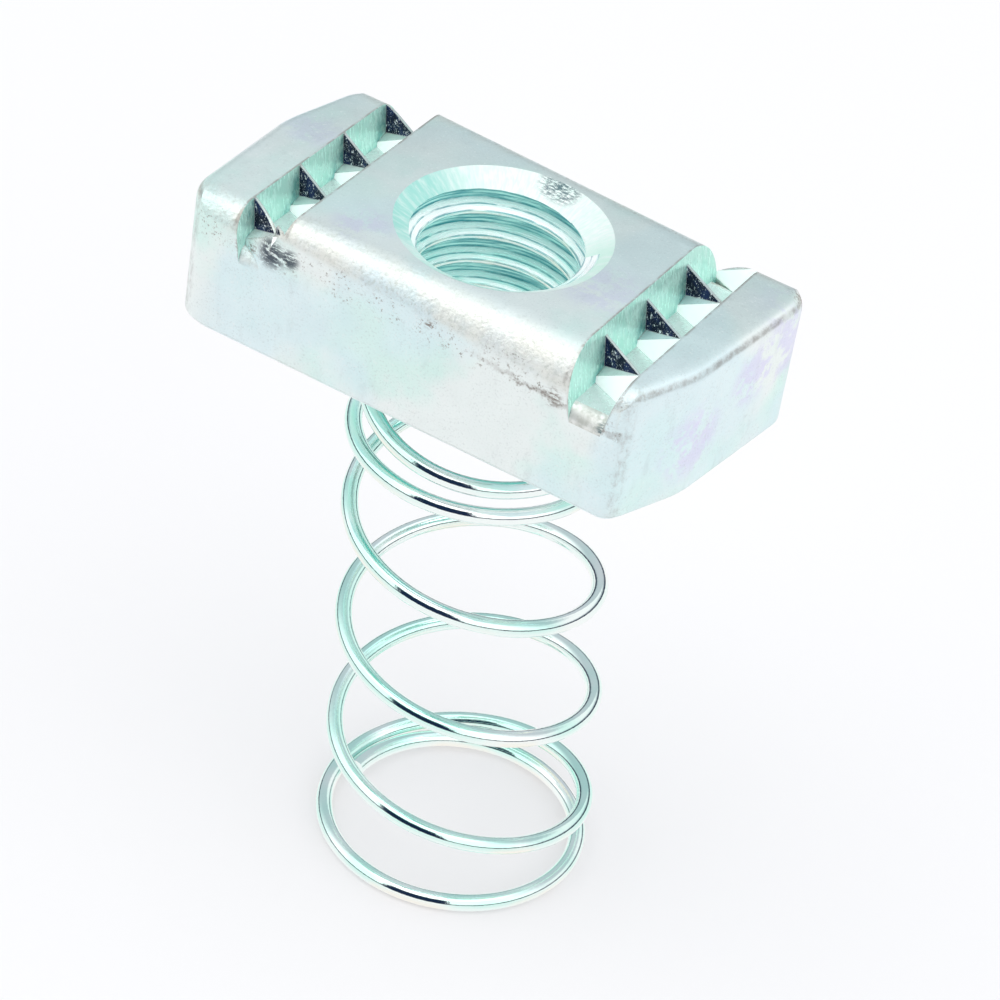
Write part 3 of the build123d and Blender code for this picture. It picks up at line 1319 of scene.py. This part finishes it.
@dataclass
class CutThread:
    """The thread in the nut's hole: one turn's profile, screwed along the hole.

    Attributes:
        crest_flat: Height of the flat on the crest.
        sink_radius: Radius of the countersink's rim.
        sink_angle: Angle between the countersink and the hole's axis.
        sink_gap: How far the thread stays inside the countersink.
        rim_level: Level of the thread's upper end.
        lower_level: Level of its lower end.
        fineness: Longest edge of the profile.
        steps: Faces in a turn.
        spare_turns: Turns that are made past both ends and cut away.
        cone_slack: How far from the countersink a face still belongs to it.
    """

    pitch: float = 1.954
    root_radius: float = 6.33
    crest_radius: float = 5.42
    crest_flat: float = 0.26
    flank_angle: float = 30.0
    sink_radius: float = 7.2
    sink_angle: float = 60.0
    sink_gap: float = 0.012
    rim_level: float = -0.13
    lower_level: float = -8.9
    fineness: float = 0.08
    steps: int = 144
    spare_turns: int = 3
    cone_slack: float = 0.03

    def profile(self) -> list[tuple[float, float]]:
        """Work out one pitch of the thread.

        Returns:
            Radius and height of its points, from the top down.
        """
        flank = (self.root_radius - self.crest_radius) * math.tan(math.radians(self.flank_angle))
        root_flat = self.pitch - 2 * flank - self.crest_flat
        corners = [
            (self.root_radius, 0.0),
            (self.root_radius, -root_flat),
            (self.crest_radius, -root_flat - flank),
            (self.crest_radius, -root_flat - flank - self.crest_flat),
            (self.root_radius, -self.pitch),
        ]
        points = [corners[0]]
        for (r0, z0), (r1, z1) in zip(corners[:-1], corners[1:]):
            count = max(1, math.ceil(math.hypot(r1 - r0, z1 - z0) / self.fineness))
            for step in range(1, count + 1):
                share = step / count
                points.append((r0 + (r1 - r0) * share, z0 + (z1 - z0) * share))
        return points

    def cone(self, level: float) -> float:
        """Measure the countersink.

        Args:
            level: Level in millimetres.

        Returns:
            The countersink's radius at that level.
        """
        return self.sink_radius + level * math.tan(math.radians(self.sink_angle))

    def drawn(self) -> bpy.types.Object:
        """Draw the profile as a line of edges, two pitches above the clamping face.

        Returns:
            The line's object.
        """
        points = self.profile()
        deselect()
        bpy.ops.mesh.primitive_plane_add(size=0.2 * MM, location=(0.0, 0.0, 0.0))
        thread = bpy.context.object
        thread.name = "cut_thread"
        with editing(thread):
            bpy.ops.mesh.merge(type="CENTER")
            bpy.ops.transform.translate(value=(points[0][0] * MM, 0.0, 2 * self.pitch * MM))
            for (r0, z0), (r1, z1) in zip(points[:-1], points[1:]):
                bpy.ops.mesh.extrude_region_move(
                    TRANSFORM_OT_translate={"value": ((r1 - r0) * MM, 0.0, (z1 - z0) * MM)}
                )
        return thread

    def build(self) -> bpy.types.Object:
        """Model and dress the thread.

        Returns:
            The finished piece.
        """
        thread = self.drawn()
        apply(
            thread,
            "SCREW",
            axis="Z",
            angle=-2 * math.pi,
            screw_offset=-self.pitch * MM,
            iterations=math.ceil(-self.lower_level / self.pitch) + self.spare_turns,
            steps=self.steps,
            render_steps=self.steps,
            use_merge_vertices=True,
            merge_threshold=1e-6,
        )
        cut_away(thread, self.rim_level * MM, above=True)
        cut_away(thread, self.lower_level * MM, above=False)
        for vertex in thread.data.vertices:
            at = vertex.co
            radius = math.hypot(at.x, at.y)
            inside = (self.cone(at.z / MM) - self.sink_gap) * MM
            if radius < inside:
                at.x *= inside / radius
                at.y *= inside / radius
        with editing(thread):
            bpy.ops.mesh.remove_doubles(threshold=2e-6)
            bpy.ops.mesh.normals_make_consistent(inside=True)
        shade(thread, 28.0)
        zinc = ThreadZinc(
            root_radius=self.root_radius, crest_radius=self.crest_radius, pitch=self.pitch
        )
        dress(thread, zinc.material(), sink_finish().material())
        for face in thread.data.polygons:
            at = face.center / MM
            on_cone = abs(math.hypot(at.x, at.y) - self.cone(at.z)) < self.cone_slack
            face.material_index = int(on_cone)
        return thread


@dataclass
class CoilSpring:
    """The spring, wound upwards from the ground; lengths in turns where the name says so.

    Attributes:
        foot_shift: How far the foot stands off the hole's axis, along X and Y.
        lean_curve: Power by which the lean fades upwards.
        foot_start: Angle at which the wire starts, in degrees.
        tip_radius: Radius of the coil at the wire's start.
        tip_length: Turns by which the wire starts before the solid's.
        pair_pitch: Pitch of the two turns under the nut.
        travel: Way that the nut can be pressed down; not used.
        roundness: Steps in a quarter of the wire's section.
    """

    wire: float = 1.2
    ground: float = -51.4
    foot_radius: float = 9.25
    neck_radius: float = 8.2
    seat_radius: float = 7.5
    seat_level: float = -9.55
    foot_shift: tuple[float, float] = (2.5, 2.0)
    lean_curve: float = 1.5
    foot_start: float = 165.0
    tip_radius: float = 8.0
    tip_turns: float = 0.5
    tip_length: float = 0.05
    foot_turns: float = 0.885
    ease_turns: float = 0.3
    first_pitch: float = 9.8
    active_turns: float = 2.45
    last_pitch: float = 9.5
    spread_turns: float = 0.4
    spread_pitch: float = 13.2
    gather_turns: float = 0.55
    pair_pitch: float = 2.0
    pair_turns: float = 1.0
    rise_turns: float = 0.6
    seat_turns: float = 0.72
    travel: float = 28.0
    points_per_turn: int = 96
    roundness: int = 6

    def segments(self) -> list[tuple[float, float]]:
        """Divide the wire into stretches in which the pitch changes evenly.

        Returns:
            Turns and end pitch of each stretch, from the ground up.
        """
        free = [
            (self.foot_turns, 0.0),
            (self.ease_turns, self.first_pitch),
            (self.active_turns, self.last_pitch),
            (self.spread_turns, self.spread_pitch),
            (self.gather_turns, self.pair_pitch),
            (self.pair_turns, self.pair_pitch),
        ]
        reached = self.ground + self.wire / 2 + self.climb(free, sum(t for t, _ in free))
        steepest = (4 * (self.seat_level - reached) / self.rise_turns - self.pair_pitch) / 2
        half = self.rise_turns / 2
        return free + [(half, steepest), (half, 0.0), (self.seat_turns, 0.0)]

    @staticmethod
    def climb(segments: Sequence[tuple[float, float]], turn: float) -> float:
        """Work out how high the wire has come.

        Args:
            segments: Turns and end pitch of each stretch.
            turn: Number of turns from the start.

        Returns:
            The height gained.
        """
        height, pitch = 0.0, 0.0
        for turns, end_pitch in segments:
            part = min(max(turn, 0.0), turns)
            height += part * pitch + part**2 * (end_pitch - pitch) / turns / 2
            turn -= turns
            pitch = end_pitch
        return height

    def point(self, segments: Sequence[tuple[float, float]], turn: float) -> Triple:
        """Place the middle of the wire.

        Args:
            segments: Turns and end pitch of each stretch.
            turn: Number of turns from the start.

        Returns:
            The place, in metres.
        """
        seat_from = sum(t for t, _ in segments) - self.seat_turns
        tucked_at = seat_from - self.rise_turns / 2
        tapered_from = self.foot_turns + self.ease_turns
        tapered_to = seat_from - self.rise_turns
        tip = min(turn / self.tip_turns, 1.0)
        taper = min(max((turn - tapered_from) / (tapered_to - tapered_from), 0.0), 1.0)
        tuck = min(max((turn - tapered_to) / (tucked_at - tapered_to), 0.0), 1.0)
        radius = self.foot_radius + (self.neck_radius - self.foot_radius) * taper
        radius += (self.tip_radius - self.foot_radius) * (1 + math.cos(math.pi * tip)) / 2
        radius += (self.seat_radius - self.neck_radius) * (1 - math.cos(math.pi * tuck)) / 2
        gained = self.climb(segments, turn)
        lean = 1 - min(gained / self.climb(segments, tucked_at), 1.0) ** self.lean_curve
        angle = math.radians(self.foot_start) - 2 * math.pi * turn
        return (
            (self.foot_shift[0] * lean + radius * math.cos(angle)) * MM,
            (self.foot_shift[1] * lean + radius * math.sin(angle)) * MM,
            (self.ground + self.wire / 2 + gained) * MM,
        )

    def build(self) -> bpy.types.Object:
        """Draw the wire along its turns and dress it.

        Returns:
            The finished piece.
        """
        segments = self.segments()
        total = sum(turns for turns, _ in segments) + self.tip_length
        count = round(total * self.points_per_turn)
        line = bpy.data.curves.new("coil_spring", "CURVE")
        line.dimensions = "3D"
        line.bevel_depth = self.wire / 2 * MM
        line.bevel_resolution = self.roundness
        line.use_fill_caps = True
        spline = line.splines.new("POLY")
        spline.points.add(count)
        for step in range(count + 1):
            turn = total * step / count - self.tip_length
            spline.points[step].co = (*self.point(segments, turn), 1.0)
        drawn = bpy.data.objects.new("coil_spring", line)
        bpy.context.scene.collection.objects.link(drawn)
        take(drawn)
        bpy.ops.object.convert(target="MESH")
        spring = bpy.context.object
        with editing(spring):
            bpy.ops.mesh.remove_doubles(threshold=1e-6)
            bpy.ops.mesh.normals_make_consistent(inside=False)
        shade(spring, 50.0)
        dress(spring, WireZinc().material())
        return spring


# ---------------------------------------------------------------------------------------
# Studio


@dataclass(frozen=True)
class Card:
    """An upright patch of the sky: a window or a dark card.

    Attributes:
        tone: Its brightness.
        azimuth: Middle, in degrees.
        half_width: Half its width, in degrees.
        top: Height of the direction, as its Z, at which it starts to end and at which it has ended.
        foot: The same where it begins, or None for one that stands on the ground.
    """

    tone: Colour
    azimuth: float
    half_width: float
    top: Span
    foot: Optional[Span] = None
    soft_edge: float = 0.03

    def share(self, bench: NodeBench, x: Socket, y: Socket, z: Socket) -> Socket:
        """Tell where the card is.

        Args:
            bench: Bench of the world's tree.
            x: X of the direction.
            y: Y of the direction.
            z: Z of the direction.

        Returns:
            The socket of its share, 1 inside and 0 outside.
        """
        turn = math.radians(self.azimuth)
        toward = bench.math("ADD", bench.times(x, math.cos(turn)), bench.times(y, math.sin(turn)))
        level = bench.math("POWER", bench.math("SUBTRACT", 1.0, bench.math("POWER", z, 2.0)), 0.5)
        edge = math.cos(math.radians(self.half_width))
        share = bench.band(bench.math("DIVIDE", toward, level), edge, edge + self.soft_edge)
        if self.foot is not None:
            share = bench.times(share, bench.band(z, *self.foot))
        below, above = self.top
        return bench.times(share, bench.band(z, above, below))


@dataclass
class Studio:
    """White table, soft light all round with dark surroundings at the horizon, and the camera.

    Attributes:
        table_size: Length of the table's side, in metres.
        table_glow: Share of the table that the camera sees as plain backdrop, free of shadow.
        front_way: X and Y of the direction that counts as the front.
        front_fade: Where the sky turns from its back tone to its front tone.
        zenith: Extra light from straight above.
        zenith_fade: Heights between which it comes in.
        horizon: Tone of the dark surroundings.
        horizon_fade: Heights between which they end.
        camera_at: Place of the camera.
        camera_turn: Its turn about X, Y and Z, in degrees.
        lens: Focal length.
    """

    table_level: float = -51.4
    table_size: float = 3.0
    table_colour: Colour = (0.90, 0.893, 0.903)
    table_glow: float = 0.42
    backdrop: Colour = (0.968, 0.962, 0.975)
    sky_back: Colour = (0.58, 0.63, 0.67)
    sky_front: Colour = (1.42, 1.42, 1.42)
    front_way: tuple[float, float] = (0.2, -0.98)
    front_fade: Span = (-0.55, 0.25)
    zenith: float = 0.6
    zenith_fade: Span = (0.80, 0.95)
    horizon: Colour = (0.012, 0.025, 0.06)
    horizon_fade: Span = (0.09, 0.24)
    window: Card = Card((1.0, 1.02, 1.02), 62.0, 36.0, top=(0.54, 0.66), foot=(0.20, 0.30))
    dark_card: Card = Card((0.012, 0.025, 0.06), -81.0, 28.0, top=(0.74, 0.80))
    camera_at: Triple = (95.73, -191.90, 141.30)
    camera_turn: Triple = (52.362, -7.770, 31.743)
    lens: float = 144.0

    def table(self) -> bpy.types.Object:
        """Lay the table under the spring's foot.

        Returns:
            The table.
        """
        deselect()
        place = (0.0, 0.0, self.table_level * MM)
        bpy.ops.mesh.primitive_plane_add(size=self.table_size, location=place)
        table = bpy.context.object
        table.name = "table"
        material, bench = new_material("white table")
        paper, glow = bench.node("ShaderNodeBsdfDiffuse"), bench.node("ShaderNodeEmission")
        bench.feed(paper.inputs["Color"], self.table_colour)
        path = bench.node("ShaderNodeLightPath")
        mirrored = path.outputs["Is Glossy Ray"]
        bench.feed(glow.inputs["Color"], bench.mix(mirrored, self.backdrop, WHITE))
        seen = bench.times(path.outputs["Is Camera Ray"], self.table_glow)
        surface = bench.node("ShaderNodeMixShader")
        sources = (bench.math("MAXIMUM", seen, mirrored), paper.outputs[0], glow.outputs[0])
        for socket, source in zip(surface.inputs, sources):
            bench.feed(socket, source)
        bench.feed(bench.node("ShaderNodeOutputMaterial").inputs["Surface"], surface.outputs[0])
        dress(table, material)
        return table

    def light(self) -> None:
        """Light the scene from all round, brightest above and in front."""
        world = bpy.data.worlds.new("studio")
        world.use_nodes = True
        bpy.context.scene.world = world
        bench = NodeBench(world.node_tree)
        way = bench.node("ShaderNodeSeparateXYZ")
        bench.feed(way.inputs[0], bench.node("ShaderNodeTexCoord").outputs["Generated"])
        x, y, z = (way.outputs[axis] for axis in "XYZ")
        front_x, front_y = self.front_way
        front = bench.math("ADD", bench.times(x, front_x), bench.times(y, front_y))
        sky = bench.mix(bench.band(front, *self.front_fade), self.sky_back, self.sky_front)
        lamp = bench.math("ADD", bench.times(bench.band(z, *self.zenith_fade), self.zenith), 1.0)
        above = bench.node("ShaderNodeVectorMath", operation="SCALE")
        bench.feed(above.inputs[0], sky)
        bench.feed(above.inputs["Scale"], lamp)
        colour = bench.mix(bench.band(z, *self.horizon_fade), self.horizon, above.outputs[0])
        for card in (self.window, self.dark_card):
            colour = bench.mix(card.share(bench, x, y, z), colour, card.tone)
        # past the table's edge the camera sees the same pale backdrop
        seen = bench.node("ShaderNodeLightPath").outputs["Is Camera Ray"]
        colour = bench.mix(seen, colour, self.backdrop)
        back = bench.node("ShaderNodeBackground")
        bench.feed(back.inputs["Color"], colour)
        back.inputs["Strength"].default_value = 1.0
        bench.feed(bench.node("ShaderNodeOutputWorld").inputs["Surface"], back.outputs[0])

    def camera(self) -> None:
        """Set the camera."""
        lens = bpy.data.cameras.new("camera")
        lens.lens = self.lens
        lens.sensor_width = 36.0
        lens.clip_start = 0.005
        lens.clip_end = 20.0
        camera = bpy.data.objects.new("camera", lens)
        camera.location = tuple(value * MM for value in self.camera_at)
        camera.rotation_euler = Euler([math.radians(turn) for turn in self.camera_turn])
        bpy.context.scene.collection.objects.link(camera)
        bpy.context.scene.camera = camera


def main() -> None:
    """Build the pieces in order and set the studio round them."""
    logging.basicConfig(level=logging.INFO, format="%(message)s")
    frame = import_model()

    nut = ForgedNut().build(frame["nodes"])
    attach(nut, "nut")
    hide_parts("nut_body")
    LOG.info("forged nut: %d faces", len(nut.data.polygons))

    thread = CutThread().build()
    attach(thread, "nut")
    LOG.info("cut thread: %d faces", len(thread.data.polygons))

    coil = CoilSpring()
    spring = coil.build()
    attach(spring, "spring")
    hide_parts("spring")
    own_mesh(spring)
    LOG.info("coil spring: %d faces", len(spring.data.polygons))

    studio = Studio()
    bpy.context.scene.view_settings.view_transform = "Standard"
    studio.table()
    studio.light()
    studio.camera()
    LOG.info("studio ready")


if __name__ == "__main__":
    main()
